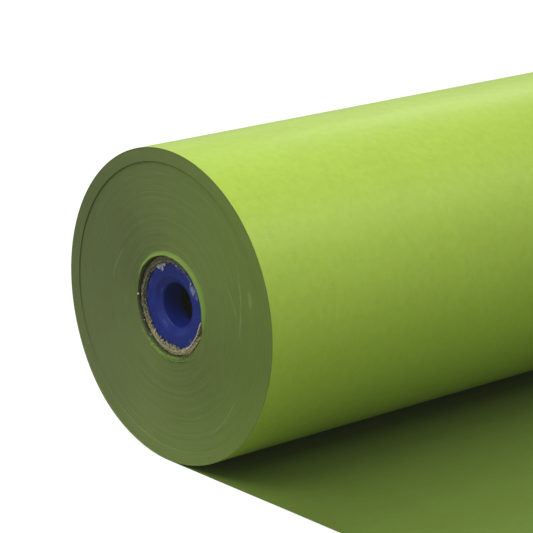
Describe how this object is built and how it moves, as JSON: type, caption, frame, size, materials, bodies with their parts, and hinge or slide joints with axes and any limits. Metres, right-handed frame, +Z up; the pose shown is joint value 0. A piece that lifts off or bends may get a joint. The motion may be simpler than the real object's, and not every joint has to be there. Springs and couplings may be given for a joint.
{
  "type": "backdrop paper roll",
  "caption": "Wide roll of bright green background paper on a cardboard core with bored plastic end plugs; the free end of the sheet is pulled out flat from under the roll.",
  "frame": {"origin": "on the roll's axis, half way along it, at the middle of the crossbar bore", "axes": "+X along the roll's axis; -Y the way the sheet is pulled out; +Z up. The roll and the sheet rest on Z = -0.092 m"},
  "size_m": [1.351, 0.512, 0.1839],
  "materials": {
    "paper": "smooth, slight satin sheen",
    "wound_paper": "matt cut edges",
    "core_board": "matt, frayed at the cut ends",
    "tape": "matt",
    "plug_plastic": "moulded, low gloss"
  },
  "bodies": {
    "outer_turn": {"outer_turn": "paper"},
    "pulled_sheet": {"pulled_sheet": "paper"},
    "wound_roll": {"outer_winding": "wound_paper", "main_winding": "wound_paper", "first_turns": "wound_paper", "core_tube": "core_board", "start_tape": "tape"},
    "left_plug": {"left_core_plug": "plug_plastic"},
    "right_plug": {"right_core_plug": "plug_plastic"}
  },
  "joints": [
    {"name": "roll_spin", "type": "hinge", "parent": "outer_turn", "child": "wound_roll", "pos_m": [0, 0, 0], "axis": [-1, 0, 0], "range_deg": [0, 360]},
    {"name": "sheet_travel", "type": "slide", "parent": "outer_turn", "child": "pulled_sheet", "axis": [0, -1, 0], "range_m": [0, 0.579], "deforming": ["pulled_sheet"]},
    {"name": "left_plug_pull", "type": "slide", "parent": "wound_roll", "child": "left_plug", "axis": [-1, 0, 0], "range_m": [0, 0.04]},
    {"name": "right_plug_pull", "type": "slide", "parent": "wound_roll", "child": "right_plug", "axis": [1, 0, 0], "range_m": [0, 0.04]}
  ],
  "couplings": [
    {"joint": "sheet_travel", "follows": "roll_spin", "m_per_rad": 0.092}
  ]
}
